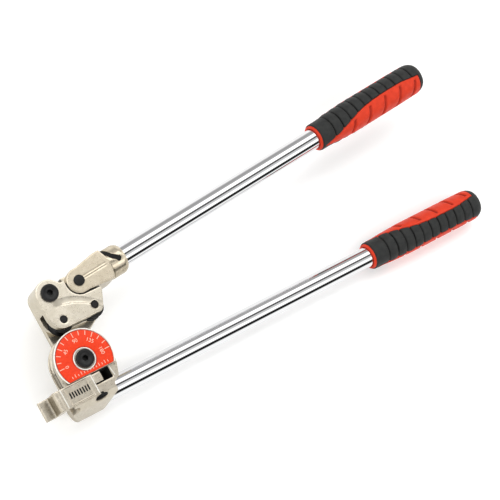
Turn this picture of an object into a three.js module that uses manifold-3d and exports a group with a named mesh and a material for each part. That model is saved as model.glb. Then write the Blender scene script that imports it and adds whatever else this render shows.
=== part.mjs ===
// Lever-type tube bender for 3/8 in tube, millimetres, +Z up.
// Origin: flat back end of the pivot post, on the bending axis.
// +X runs along the form handle, +Z points out of the degree scale.
import * as THREE from 'three';
import Module from 'manifold-3d';
import { mergeVertices } from 'three/addons/utils/BufferGeometryUtils.js';

const wasm = await Module();
wasm.setup();

// ---- Driving dimensions ----
const TUBE_R = 9.525 / 2;            // bent tube, 3/8 in
const BEND_R = 23.81;                // centreline bend radius, 15/16 in
const GROOVE_R = TUBE_R + 0.09;
const GAP = 0.3;                     // between fixed neighbours
const BORE_GAP = 0.35;               // between a shaft and its faceted bore

const FACE_Z = 10.2;                 // heights count from the groove plane
const FLANGE_R = 24.2;
const FLANGE_BACK_Z = -7;
const EDGE_CUT = 0.8;                // chamfer on the flange
const HUB_R = 15;
const HUB_BACK_Z = -9.2;
const SHELF_Z = 8.6;                 // housing front under the latch
const CHORD_Y = -12.2;               // lower edge of the dial face
const DIAL_R = 22.4;
const DIAL_HOLE_R = 9.4;
const DIAL_SINK = 0.6;               // depth of the seat under the dial plate
const DIAL_THICK = 0.5;

const HANDLE_R = 8.75;
const HANDLE_WALL = 1.6;
const HANDLE_FIT_R = HANDLE_R + GAP;
const FORM_AXIS_Y = -25.5;           // form handle, set back behind the groove
const FORM_AXIS_Z = -29;
const BARREL_R = 11.6;
const BARREL_MOUTH_R = 10.8;
const BARREL_FLAT = 0.8;             // depth of the flat on the barrel's back
const BARREL_X0 = -15.2;
const BARREL_X1 = 22.4;
const WINDOW_X = [-3.6, 14];         // latch window in the housing
const WINDOW_Y = -21.5;
const WINDOW_FLOOR_Z = -6;
const FORM_TUBE_X0 = -12;
const FORM_CROSS_X = 2;
const FORM_CROSS_Z = [-39.6, -19.6];
const CROSS_PIN_R = 2;
const FORM_GRIP_X = 281.7;

const GRIP_LENGTH = 118.5;
const GRIP_R0 = 12.4;
const GRIP_R1 = 14;
const CORE_R = 10.9;
const TUBE_END = 6;                  // handle tube ends this far inside the grip's butt
const LEAF_TIP = 10;                 // red leaf-shaped window in the cover
const LEAF_BUTT = 5.5;
const LEAF_HALF = 11.2;
const PLUG_SEAT = 4.6;
const PLUG_DEPTH = 12;
const FORM_PANEL_ROLL = THREE.MathUtils.degToRad(-65);
const SHOE_PANEL_ROLL = THREE.MathUtils.degToRad(52);

const POST_R = 5;
const POST_HEAD_R = 7.1;
const POST_BACK_Z = -21.5;
const POST_HEAD = 2.5;               // head heights
const SHOE_HEAD = 1.9;
const CLEVIS_HEAD = 1.2;
const SOCKET_ACROSS = 6;
const NUT_ACROSS = 13;
const WASHER_R = 9;
const WASHER_Z = [-16.4, -15];
const PIVOT_NUT_Z = [-20.9, -16.7];
const LINK_FRONT_Z = -9.6;
const LINK_BACK_Z = -14.7;
const LINK_BOSS_R = 11;
const BUSHING_R = 7.2;
const BUSHING_INSET = 0.1;

const SHOE_Y = 56.2;                 // shoe screw above the bending axis
const SHOE_FRONT_Z = 11.9;
const SHOE_BACK_Z = -9.2;
const SHOE_BOSS_R = 10.9;
const SHOE_HEAD_R = 7;
const SHOE_SCREW_Z = -19.4;
const SHOE_NUT_Z = [-18.8, -15];
const ROLLER_SLOT_Z = [-5.1, 5.5];
const ROLLER_SLOT_Y = 44.2;
const ROLLER_Y = 33.7;
const ROLLER_X = [0.3, 28];
const ROLLER_R = 8.9;
const ROLLER_HALF = 4.7;
const ROLLER_Z = 0.2;                // the slot, and so the roller, sits a little forward
const ROLLER_PIN_R = 2.8;

const CLEVIS_X = 26;
const CLEVIS_Y = 55.4;
const CLEVIS_ANGLE = THREE.MathUtils.degToRad(5.74);
const CLEVIS_NOSE_R = 10;
const CLEVIS_HALF = 11.9;
const CLEVIS_WIDE = 12.5;            // half width where the fork meets the collar
const CLEVIS_CORNER_R = 17.2;
const CLEVIS_PIN_R = 3;
const CLEVIS_PIN_HEAD_R = 4.4;
const CLEVIS_PIN_Z = -14.4;
const CLIP_R = 5;
const CLIP_Z = [-13.6, -12.2];
const TONGUE_HALF = 5.7;
const TONGUE_SWEEP_R = 17.6;         // clears the tongue when the handle swings
const COLLAR_R = 12.2;
const COLLAR_X1 = 44.4;
const COLLAR_NECK = 0.6;             // collar is this much slimmer under the fork
const COLLAR_MOUTH_R = 10.9;
const RECESS_DEPTH = 2.3;
const SHOE_CROSS_X = 38;             // from the clevis pin
const SHOE_CROSS_Z = [-12, -6];
const SHOE_TUBE_X0 = 23;
const SHOE_GRIP_X = 251.8;

const LATCH_X = 1;                   // latch hinge, parallel to Y
const LATCH_Z = 5.2;
const LATCH_Y = [-28.6, -12.6];
const KNUCKLE_Y = [-20.6, -13.2];
const LATCH_FRONT_Z = 11.8;
const LATCH_PIN_R = 1.9;
const LATCH_PIN_HEAD_R = 2.8;
const LATCH_PIN_Y = [-29.4, -27.9, -9];
const KNUCKLE_R = 3.6;
const PIN_POCKET_R = 5.2;
const PIN_POCKET_Y = -27.6;

// ---- Geometry helpers ----
function solid(geometry) {
  const bare = geometry.index ? geometry.toNonIndexed() : geometry.clone();
  bare.deleteAttribute('normal');
  bare.deleteAttribute('uv');
  const merged = mergeVertices(bare, 1e-4);
  return new wasm.Manifold(new wasm.Mesh({
    numProp: 3,
    vertProperties: new Float32Array(merged.attributes.position.array),
    triVerts: new Uint32Array(merged.index.array),
  }));
}

function geometryOf(manifold) {
  const mesh = manifold.getMesh();
  const geometry = new THREE.BufferGeometry();
  geometry.setAttribute('position', new THREE.BufferAttribute(new Float32Array(mesh.vertProperties), 3));
  geometry.setIndex(new THREE.BufferAttribute(new Uint32Array(mesh.triVerts), 1));
  return geometry;
}

function plate(shape, z0, z1, segments = 12) {
  const geometry = new THREE.ExtrudeGeometry(shape, {
    depth: z1 - z0, bevelEnabled: false, curveSegments: segments,
  });
  return solid(geometry.translate(0, 0, z0));
}

function outline(points) {
  return new THREE.Shape(points.map(([x, y]) => new THREE.Vector2(x, y)));
}

function box(x0, x1, y0, y1, z0, z1) {
  const geometry = new THREE.BoxGeometry(x1 - x0, y1 - y0, z1 - z0);
  return solid(geometry.translate((x0 + x1) / 2, (y0 + y1) / 2, (z0 + z1) / 2));
}

// Rod along Z from z0 to z1 around (x, y).
function rodZ(x, y, z0, z1, r, segments = 32) {
  const geometry = new THREE.CylinderGeometry(r, r, z1 - z0, segments).rotateX(Math.PI / 2);
  return solid(geometry.translate(x, y, (z0 + z1) / 2));
}

function rodY(x, z, y0, y1, r, segments = 32) {
  const geometry = new THREE.CylinderGeometry(r, r, y1 - y0, segments);
  return solid(geometry.translate(x, (y0 + y1) / 2, z));
}

// Turned solids: profile points are [radius, distance along the axis].
function turnedZ(profile, segments = 48) {
  const points = profile.map(([r, d]) => new THREE.Vector2(r, d));
  return solid(new THREE.LatheGeometry(points, segments).rotateX(Math.PI / 2));
}

function turnedX(profile, segments = 40) {
  const points = profile.map(([r, d]) => new THREE.Vector2(r, d));
  return solid(new THREE.LatheGeometry(points, segments).rotateZ(-Math.PI / 2));
}

function arcProfile(cx, cy, r, start, end, steps) {
  return Array.from({ length: steps + 1 }, (_, i) => {
    const angle = start + (end - start) * i / steps;
    return [cx + r * Math.cos(angle), cy + r * Math.sin(angle)];
  });
}

function hexSocket(x, y, z0, z1) {
  return rodZ(x, y, z0, z1, SOCKET_ACROSS / Math.sqrt(3), 6);
}

const METAL_CAST = { color: 0xd9cfb8, roughness: 0.38, metalness: 0.85 };
const CHROME = { color: 0xdddddd, roughness: 0.08, metalness: 1 };
const BLACK_STEEL = { color: 0x232323, roughness: 0.45, metalness: 0.6 };
const BLACK_RUBBER = { color: 0x2e3130, roughness: 0.8, metalness: 0 };
const RED_RUBBER = { color: 0xd9432a, roughness: 0.65, metalness: 0 };
const RED_DIAL = { color: 0xf04a2c, roughness: 0.45, metalness: 0 };
const ZINC = { color: 0xb9b9b4, roughness: 0.35, metalness: 0.9 };
const BRONZE = { color: 0xa8803f, roughness: 0.4, metalness: 0.9 };

function part(parent, name, manifold, look) {
  const mesh = new THREE.Mesh(geometryOf(manifold), new THREE.MeshStandardMaterial(look));
  mesh.name = name;
  parent.add(mesh);
}

// ---- Form side ----
function formDisc() {
  const groove = arcProfile(BEND_R, 0, GROOVE_R, Math.PI / 2, 1.5 * Math.PI, 12);
  return turnedZ([
    [0, HUB_BACK_Z], [HUB_R, HUB_BACK_Z], [HUB_R, FLANGE_BACK_Z],
    [FLANGE_R - EDGE_CUT, FLANGE_BACK_Z], [FLANGE_R, FLANGE_BACK_Z + EDGE_CUT],
    [FLANGE_R, -GROOVE_R], ...groove.reverse(),
    [FLANGE_R, GROOVE_R], [FLANGE_R, FACE_Z - EDGE_CUT],
    [FLANGE_R - EDGE_CUT, FACE_Z], [0, FACE_Z],
  ], 60);
}

function housingSection() {
  const back = -38.5;
  const half = 30;
  const shape = outline([[half, SHELF_Z], [-29.3, SHELF_Z], [-32.9, -3], [-36.9, -26], [-36.2, -33],
    [FORM_AXIS_Y - 5, back], [half, back]]);
  const geometry = new THREE.ExtrudeGeometry(shape, { depth: 2 * half, bevelEnabled: false });
  // Section drawn in Y and Z, extruded along X.
  geometry.applyMatrix4(new THREE.Matrix4().set(0, 0, 1, -half, 1, 0, 0, 0, 0, 1, 0, 0, 0, 0, 0, 1));
  return solid(geometry);
}

// The web widens from the front block to the barrel: drawn in X and Z, extruded along Y.
function webSection() {
  const back = -40;
  const heel = BARREL_X0 + 0.6;
  const shape = outline([[-FLANGE_R, SHELF_Z], [-FLANGE_R, FLANGE_BACK_Z], [heel, FORM_AXIS_Z],
    [heel, back], [BARREL_X1, back], [BARREL_X1, -17], [12.6, SHELF_Z]]);
  const geometry = new THREE.ExtrudeGeometry(shape, { depth: 40, bevelEnabled: false });
  return solid(geometry.rotateX(Math.PI / 2));
}

// The barrel's mouth is cut back on the side away from the scale.
function mouthCut() {
  const deep = -45;
  const [inner, outer, top] = [7.6, 40, -25.1];
  const shape = outline([[BARREL_X1, top], [inner, -38], [inner, deep], [outer, deep], [outer, top]]);
  return plate(shape, deep, 2);
}

function housingBlock() {
  const front = plate(outline([[-FLANGE_R, 0], [-FLANGE_R, -29.4], [-15, -31.5], [12, -31.5],
    [13.2, -25.5], [18.6, -22.5], [22, -13.5], [FLANGE_R, -3], [FLANGE_R, 0]]), FLANGE_BACK_Z, SHELF_Z);
  const web = plate(outline([[-FLANGE_R, -13.6], [6.5, -13.6], [18, -23.4], [BARREL_X1, -28.5],
    [BARREL_X1, -37.6], [-FLANGE_R, -37.6]]), FORM_AXIS_Z - 0.4, SHELF_Z - 1).intersect(webSection());
  return front.add(web).intersect(housingSection());
}

function formBarrel() {
  const barrel = turnedX([[0, BARREL_X0], [BARREL_R - 1, BARREL_X0], [BARREL_R, BARREL_X0 + 1],
    [BARREL_R, 14], [BARREL_MOUTH_R, BARREL_X1], [0, BARREL_X1]]);
  return barrel.translate([0, FORM_AXIS_Y, FORM_AXIS_Z]);
}

function dialShape(r, chord) {
  const half = Math.asin(chord / r);
  const shape = new THREE.Shape();
  shape.absarc(0, 0, r, half, Math.PI - half, false);
  return shape;
}

function formBody() {
  const dialRecess = plate(dialShape(DIAL_R + BORE_GAP, CHORD_Y + GAP), FACE_Z - DIAL_SINK, FACE_Z + 1, 48)
    .subtract(rodZ(0, 0, FACE_Z - 2, FACE_Z + 2, DIAL_HOLE_R - GAP, 36));
  const handleBore = turnedX([[0, FORM_TUBE_X0 - GAP], [HANDLE_FIT_R, FORM_TUBE_X0 - GAP],
    [HANDLE_FIT_R, 40], [0, 40]]).translate([0, FORM_AXIS_Y, FORM_AXIS_Z]);
  let body = formDisc().add(housingBlock()).add(formBarrel()).subtract(mouthCut());
  body = body.subtract(box(-40, 40, -40, CHORD_Y, SHELF_Z, 20));
  for (const side of [-1, 1]) body = body.subtract(rodY(side * BEND_R, 0, -45, 0.6, GROOVE_R + 0.06, 24));
  const windowCut = box(...WINDOW_X, WINDOW_Y, CHORD_Y - 0.4, WINDOW_FLOOR_Z, 20);
  const latchPinBore = rodY(LATCH_X, LATCH_Z, -40, -8.4, LATCH_PIN_R + BORE_GAP, 20);
  const pinPocket = rodY(LATCH_X - 0.8, LATCH_Z - 1.9, -40, PIN_POCKET_Y, PIN_POCKET_R, 32);
  const rollPinBore = rodZ(FORM_CROSS_X, FORM_AXIS_Y, -60, -19, CROSS_PIN_R + BORE_GAP, 20);
  return body.subtract(dialRecess).subtract(handleBore).subtract(windowCut).subtract(latchPinBore)
    .subtract(pinPocket).subtract(rollPinBore)
    .subtract(rodZ(0, 0, -30, 20, POST_R + BORE_GAP, 32))
    .subtract(box(-60, 60, -60, 60, -60, FORM_AXIS_Z - BARREL_R + BARREL_FLAT));
}

function degreeScale() {
  const z = FACE_Z - DIAL_SINK + GAP;
  return plate(dialShape(DIAL_R, CHORD_Y + 2 * GAP), z, z + DIAL_THICK, 48)
    .subtract(rodZ(0, 0, FACE_Z - 2, FACE_Z + 2, DIAL_HOLE_R, 36));
}

function pivotPost() {
  const z = FACE_Z + GAP;
  return turnedZ([[0, POST_BACK_Z], [POST_R - 0.6, POST_BACK_Z], [POST_R, POST_BACK_Z + 0.6],
    [POST_R, z], [POST_HEAD_R, z], [POST_HEAD_R, z + POST_HEAD - 0.6],
    [POST_HEAD_R - 0.7, z + POST_HEAD], [0, z + POST_HEAD]], 36)
    .subtract(hexSocket(0, 0, z - 1.5, z + 5));
}

function washer(x, y, z0, z1, r0, r1) {
  return rodZ(x, y, z0, z1, r1, 36).subtract(rodZ(x, y, z0 - 1, z1 + 1, r0, 32));
}

function hexNut(x, y, z0, z1) {
  return rodZ(x, y, z0, z1, NUT_ACROSS / Math.sqrt(3), 6)
    .subtract(rodZ(x, y, z0 - 1, z1 + 1, POST_R + BORE_GAP, 32));
}

// Hollow tube along X.
function handleTube(x0, x1) {
  const inner = HANDLE_R - HANDLE_WALL;
  return turnedX([[inner, x0], [HANDLE_R, x0], [HANDLE_R, x1], [inner, x1], [inner, x0]]);
}

// ---- Grip: red core, black cover with two leaf-shaped windows, end plug ----
function leafShape(inset) {
  const tip = LEAF_TIP + inset * 3;
  const butt = GRIP_LENGTH - LEAF_BUTT - inset;
  const half = LEAF_HALF - inset;
  const shape = new THREE.Shape();
  shape.moveTo(tip, 0);
  shape.bezierCurveTo(tip + 22, half * 0.45, tip + 42, half, tip + 70, half);
  shape.lineTo(butt, half);
  shape.lineTo(butt, -half);
  shape.lineTo(tip + 70, -half);
  shape.bezierCurveTo(tip + 42, -half, tip + 22, -half * 0.45, tip, 0);
  return shape;
}

function leafCutter(inset) {
  return plate(leafShape(inset), -20, 20, 8);
}

function gripCore() {
  const start = 0.8;
  const end = GRIP_LENGTH - 5;
  const sunk = 0.4;
  const fit = HANDLE_FIT_R;
  const sleeve = turnedX([[fit, start], [CORE_R, start], [CORE_R, end], [fit, end], [fit, start]], 32);
  const panels = turnedX([[fit, 9], [GRIP_R0 - sunk, 9], [GRIP_R1 - sunk, 60], [GRIP_R1 - sunk, end],
    [fit, end], [fit, 9]], 32).intersect(leafCutter(GAP));
  return sleeve.add(panels);
}

function gripCover() {
  const fit = CORE_R + GAP;
  const shell = turnedX([[fit, 0], [GRIP_R0 - 0.8, 0], [GRIP_R0, 1.2], [GRIP_R0, 8], [GRIP_R1, 58],
    [GRIP_R1, GRIP_LENGTH - 8], [GRIP_R1 - 1, GRIP_LENGTH - 3], [GRIP_R1 - 2.6, GRIP_LENGTH - 0.5],
    [fit, GRIP_LENGTH - 0.5], [fit, 0]], 40);
  return shell.subtract(leafCutter(0));
}

function endPlug() {
  const bore = HANDLE_R - HANDLE_WALL - GAP;
  const seat = GRIP_LENGTH - PLUG_SEAT;
  return turnedX([[0, seat - PLUG_DEPTH], [bore - 0.8, seat - PLUG_DEPTH], [bore, seat - 10], [bore, seat],
    [CORE_R, seat], [CORE_R, GRIP_LENGTH - 1], [CORE_R - 1.2, GRIP_LENGTH], [0, GRIP_LENGTH]], 32);
}

function addGrip(parent, prefix, x, roll) {
  const grip = new THREE.Group();
  grip.position.set(x, 0, 0);
  grip.rotation.x = roll;
  parent.add(grip);
  part(grip, `${prefix}_grip_core`, gripCore(), RED_RUBBER);
  part(grip, `${prefix}_grip_cover`, gripCover(), BLACK_RUBBER);
  part(grip, `${prefix}_end_plug`, endPlug(), BLACK_RUBBER);
}

// ---- Latch ----
function latchProfile() {
  const z = LATCH_FRONT_Z;
  const shape = new THREE.Shape();
  shape.moveTo(-2, z);
  shape.lineTo(-32.8, z);
  shape.absarc(-32.8, z - 3.5, 3.5, Math.PI / 2, Math.PI, false);
  shape.lineTo(-36.3, -1.2);
  shape.absarc(-38.5, -1.2, 2.2, 0, -Math.PI / 2, true);
  shape.lineTo(-43.2, -3.4);
  shape.absarc(-43.2, -5.2, 1.8, Math.PI / 2, 1.5 * Math.PI, false);
  shape.lineTo(-35.5, -7);
  shape.lineTo(-31, -4.6);
  shape.lineTo(-28.9, -1.2);
  shape.absarc(-BEND_R, 0, GROOVE_R + 0.15, Math.PI * 1.05, Math.PI * 0.55, true);
  shape.lineTo(-24.7, SHELF_Z + GAP + 0.4);
  shape.lineTo(-2, SHELF_Z + GAP + 0.4);
  return shape;
}

function latchBody() {
  const depth = LATCH_Y[1] - LATCH_Y[0];
  const geometry = new THREE.ExtrudeGeometry(latchProfile(), {
    depth, bevelEnabled: false, curveSegments: 8,
  });
  // Profile drawn in X and Z, extruded along -Y.
  geometry.rotateX(Math.PI / 2).translate(0, LATCH_Y[1], 0);
  const knuckle = rodY(LATCH_X, LATCH_Z, ...KNUCKLE_Y, KNUCKLE_R, 28);
  const neck = box(-3, LATCH_X + 1.5, ...KNUCKLE_Y, LATCH_Z, LATCH_FRONT_Z - 0.6);
  const lug = box(0, 5.2, ...KNUCKLE_Y, 7.6, LATCH_FRONT_Z - 0.6);
  return solid(geometry).add(knuckle).add(neck).add(lug)
    .subtract(rodY(LATCH_X, LATCH_Z, -40, 0, LATCH_PIN_R + BORE_GAP, 20));
}

function latchPin() {
  const [front, shoulder, end] = LATCH_PIN_Y;
  return rodY(LATCH_X, LATCH_Z, shoulder - 0.1, end, LATCH_PIN_R, 20)
    .add(rodY(LATCH_X, LATCH_Z, front, shoulder, LATCH_PIN_HEAD_R, 24));
}

// ---- Link ----
function linkShape() {
  const shape = new THREE.Shape();
  shape.moveTo(-10.1, 4.3);
  shape.lineTo(-10.1, 57);
  shape.bezierCurveTo(-10.1, 63, -6, 67, 0, 67);
  shape.bezierCurveTo(8, 67, 12, 60, 12.2, 50);
  shape.lineTo(12.6, 43.6);
  shape.lineTo(32, 43.2);
  shape.lineTo(37, 39);
  shape.lineTo(37.3, 30.5);
  shape.lineTo(31.5, 25.6);
  shape.lineTo(23.5, 20.8);
  shape.lineTo(9.6, 5.4);
  shape.absarc(0, 0, LINK_BOSS_R, 0.51, Math.PI - 0.401, true);
  return shape;
}

function linkPlate() {
  return plate(linkShape(), LINK_BACK_Z, LINK_FRONT_Z, 10)
    .subtract(rodZ(0, 0, -30, 0, BUSHING_R + BORE_GAP, 32))
    .subtract(rodZ(0, SHOE_Y, -30, 0, BUSHING_R + BORE_GAP, 32));
}

// ---- Roller shoe ----
function shoeShape() {
  const shape = new THREE.Shape();
  shape.moveTo(-SHOE_BOSS_R, 38);
  shape.lineTo(-SHOE_BOSS_R, SHOE_Y);
  shape.absarc(0, SHOE_Y, SHOE_BOSS_R, Math.PI, Math.PI / 4, true);
  shape.lineTo(11.6, 60.2);
  shape.lineTo(15.2, 60.2);
  shape.lineTo(15.2, 63.8);
  shape.lineTo(31, 63.8);
  shape.lineTo(35.8, 58);
  shape.lineTo(35.8, 50);
  shape.lineTo(39.4, 45);
  shape.lineTo(38.9, 41);
  shape.lineTo(33.4, 29.2);
  shape.lineTo(30.8, 27.1);
  shape.lineTo(-1.5, 27.1);
  shape.quadraticCurveTo(-7.5, 28, -10, 34.5);
  return shape;
}

function clevisPocket() {
  const r = CLEVIS_NOSE_R + 1;
  const shape = new THREE.Shape();
  shape.moveTo(70, CLEVIS_Y - r);
  shape.lineTo(70, 100);
  shape.lineTo(CLEVIS_X - r, 100);
  shape.lineTo(CLEVIS_X - r, CLEVIS_Y);
  shape.absarc(CLEVIS_X, CLEVIS_Y, r, Math.PI, 1.5 * Math.PI, false);
  return shape;
}

function rollerShoe() {
  let shoe = plate(shoeShape(), SHOE_BACK_Z, SHOE_FRONT_Z, 12);
  shoe = shoe.subtract(box(-40, 60, 0, ROLLER_SLOT_Y, ...ROLLER_SLOT_Z));
  shoe = shoe.subtract(plate(clevisPocket(), TONGUE_HALF, 40, 12));
  shoe = shoe.subtract(plate(clevisPocket(), -40, -TONGUE_HALF, 12));
  shoe = shoe.subtract(rodZ(0, SHOE_Y, -30, 30, POST_R + BORE_GAP, 32));
  shoe = shoe.subtract(rodZ(CLEVIS_X, CLEVIS_Y, -30, 30, CLEVIS_PIN_R + BORE_GAP, 28));
  for (const x of ROLLER_X) {
    shoe = shoe.subtract(rodZ(x, ROLLER_Y, -30, 30, ROLLER_PIN_R + BORE_GAP, 24));
  }
  return shoe;
}

function shoeScrew() {
  const z = SHOE_FRONT_Z + GAP;
  const top = z + SHOE_HEAD;
  return turnedZ([[0, SHOE_SCREW_Z], [POST_R - 0.6, SHOE_SCREW_Z], [POST_R, SHOE_SCREW_Z + 0.6],
    [POST_R, z], [SHOE_HEAD_R, z], [SHOE_HEAD_R, top - 0.6], [SHOE_HEAD_R - 0.6, top], [0, top]], 36)
    .translate([0, SHOE_Y, 0]).subtract(hexSocket(0, SHOE_Y, z - 2, z + 5));
}

function roller(x) {
  const depth = ROLLER_Y - BEND_R;
  const groove = arcProfile(depth, 0, GROOVE_R, -2.05, -4.233, 10);
  const bore = ROLLER_PIN_R + BORE_GAP;
  return turnedZ([[bore, -ROLLER_HALF], [ROLLER_R, -ROLLER_HALF], ...groove, [ROLLER_R, ROLLER_HALF],
    [bore, ROLLER_HALF], [bore, -ROLLER_HALF]], 40).translate([x, ROLLER_Y, ROLLER_Z]);
}

function rollerPin(x) {
  const z0 = SHOE_BACK_Z + ROLLER_Z;
  const z1 = SHOE_FRONT_Z + ROLLER_Z;
  return turnedZ([[0, z0], [ROLLER_PIN_R, z0], [ROLLER_PIN_R, z1 - 0.5], [ROLLER_PIN_R - 0.5, z1],
    [0, z1]], 28).translate([x, ROLLER_Y, 0]);
}

// ---- Clevis, drawn along X from its pin ----
function clevisShape() {
  const shape = new THREE.Shape();
  shape.absarc(0, 0, CLEVIS_NOSE_R, Math.PI / 2, 1.5 * Math.PI, false);
  shape.lineTo(4, -CLEVIS_NOSE_R);
  shape.lineTo(21, -CLEVIS_WIDE);
  shape.lineTo(26.8, -CLEVIS_WIDE);
  shape.quadraticCurveTo(33, 0, 26.8, CLEVIS_WIDE);
  shape.lineTo(21, CLEVIS_WIDE);
  shape.lineTo(4, CLEVIS_NOSE_R);
  return shape;
}

// Slanted recess across the top of the collar, sunk to a constant depth.
function collarRecess() {
  const r = COLLAR_R - RECESS_DEPTH;
  const band = plate(outline([[26.6, 14], [31, 14], [33.2, 8.4], [35, 4.6], [37.4, 2.2], [40, -0.2],
    [40.2, -1.6], [38.6, -3.4], [36.6, -3.3], [35.4, -1], [33, 1], [30.6, 5.2], [28.6, 7.6]]), 0, 20);
  return band.subtract(turnedX([[0, 20], [r, 20], [r, 50], [0, 50]]));
}

function clevisFork() {
  const blank = plate(clevisShape(), -CLEVIS_HALF, CLEVIS_HALF, 14);
  const corners = turnedX([[0, -20], [CLEVIS_CORNER_R, -20], [CLEVIS_CORNER_R, 60], [0, 60]], 48);
  const collar = turnedX([[0, 20], [COLLAR_R - COLLAR_NECK, 20], [COLLAR_R - COLLAR_NECK, 29.6],
    [COLLAR_R, 30.2], [COLLAR_R, COLLAR_X1 - 3], [COLLAR_MOUTH_R, COLLAR_X1], [0, COLLAR_X1]]);
  const slot = box(-20, 10, -20, 20, -TONGUE_HALF - GAP, TONGUE_HALF + GAP)
    .add(rodZ(0, 0, -TONGUE_HALF - GAP, TONGUE_HALF + GAP, TONGUE_SWEEP_R, 48));
  const bore = turnedX([[0, SHOE_TUBE_X0 - GAP], [HANDLE_FIT_R, SHOE_TUBE_X0 - GAP],
    [HANDLE_FIT_R, 60], [0, 60]]);
  return blank.intersect(corners).add(collar).subtract(slot).subtract(bore)
    .subtract(rodZ(0, 0, -30, 30, CLEVIS_PIN_R + BORE_GAP, 28))
    .subtract(collarRecess())
    .subtract(rodZ(SHOE_CROSS_X, 0, -30, 0, CROSS_PIN_R + BORE_GAP, 20));
}

function clevisPin() {
  const z = CLEVIS_HALF + GAP;
  const top = z + CLEVIS_HEAD;
  return turnedZ([[0, CLEVIS_PIN_Z], [CLEVIS_PIN_R - 0.4, CLEVIS_PIN_Z],
    [CLEVIS_PIN_R, CLEVIS_PIN_Z + 0.4], [CLEVIS_PIN_R, z], [CLEVIS_PIN_HEAD_R, z],
    [CLEVIS_PIN_HEAD_R, top - 0.5], [CLEVIS_PIN_HEAD_R - 0.5, top], [0, top]], 28);
}

// ---- Assembly ----
function bushing(y) {
  const inset = BUSHING_INSET;
  return washer(0, y, LINK_BACK_Z + inset, LINK_FRONT_Z - inset, POST_R + BORE_GAP, BUSHING_R);
}

function crossPin(x, y, z0, z1) {
  return rodZ(x, y, z0, z1, CROSS_PIN_R, 20);
}

function drilledTube(x0, x1, pinX) {
  return handleTube(x0, x1).subtract(rodZ(pinX, 0, -30, 30, CROSS_PIN_R + BORE_GAP, 20));
}

function addFormSide(tool) {
  part(tool, 'form_body', formBody(), METAL_CAST);
  part(tool, 'degree_scale', degreeScale(), RED_DIAL);
  part(tool, 'pivot_post', pivotPost(), BLACK_STEEL);
  part(tool, 'pivot_washer', washer(0, 0, ...WASHER_Z, POST_R + BORE_GAP, WASHER_R), ZINC);
  part(tool, 'pivot_nut', hexNut(0, 0, ...PIVOT_NUT_Z), ZINC);
  part(tool, 'latch_pin', latchPin(), BLACK_STEEL);
  part(tool, 'form_cross_pin', crossPin(FORM_CROSS_X, FORM_AXIS_Y, ...FORM_CROSS_Z), ZINC);
  const handle = new THREE.Group();
  handle.position.set(0, FORM_AXIS_Y, FORM_AXIS_Z);
  tool.add(handle);
  const end = FORM_GRIP_X + GRIP_LENGTH - TUBE_END;
  part(handle, 'form_handle_tube', drilledTube(FORM_TUBE_X0, end, FORM_CROSS_X), CHROME);
  addGrip(handle, 'form', FORM_GRIP_X, FORM_PANEL_ROLL);
}

function addShoeSide(tool) {
  part(tool, 'link_plate', linkPlate(), METAL_CAST);
  part(tool, 'link_bushing', bushing(0), BRONZE);
  part(tool, 'shoe_bushing', bushing(SHOE_Y), BRONZE);
  part(tool, 'roller_shoe', rollerShoe(), METAL_CAST);
  part(tool, 'shoe_screw', shoeScrew(), BLACK_STEEL);
  part(tool, 'shoe_nut', hexNut(0, SHOE_Y, ...SHOE_NUT_Z), ZINC);
  ['near', 'far'].forEach((end, i) => {
    part(tool, `${end}_roller`, roller(ROLLER_X[i]), BLACK_STEEL);
    part(tool, `${end}_roller_pin`, rollerPin(ROLLER_X[i]), BLACK_STEEL);
  });
}

function addShoeHandle(tool) {
  const handle = new THREE.Group();
  handle.position.set(CLEVIS_X, CLEVIS_Y, 0);
  handle.rotation.z = CLEVIS_ANGLE;
  tool.add(handle);
  part(handle, 'clevis', clevisFork(), METAL_CAST);
  part(handle, 'clevis_pin', clevisPin(), BLACK_STEEL);
  part(handle, 'clevis_clip', washer(0, 0, ...CLIP_Z, CLEVIS_PIN_R + BORE_GAP, CLIP_R), ZINC);
  part(handle, 'shoe_cross_pin', crossPin(SHOE_CROSS_X, 0, ...SHOE_CROSS_Z), ZINC);
  const end = SHOE_GRIP_X + GRIP_LENGTH - TUBE_END;
  part(handle, 'shoe_handle_tube', drilledTube(SHOE_TUBE_X0, end, SHOE_CROSS_X), CHROME);
  addGrip(handle, 'shoe', SHOE_GRIP_X, SHOE_PANEL_ROLL);
}

const bender = new THREE.Group();
const tool = new THREE.Group();
tool.position.z = -POST_BACK_Z;
bender.add(tool);
addFormSide(tool);
part(tool, 'latch', latchBody(), METAL_CAST);
addShoeSide(tool);
addShoeHandle(tool);

export default bender;
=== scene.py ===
import math

import bmesh
import bpy
from mathutils import Matrix, Vector


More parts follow.
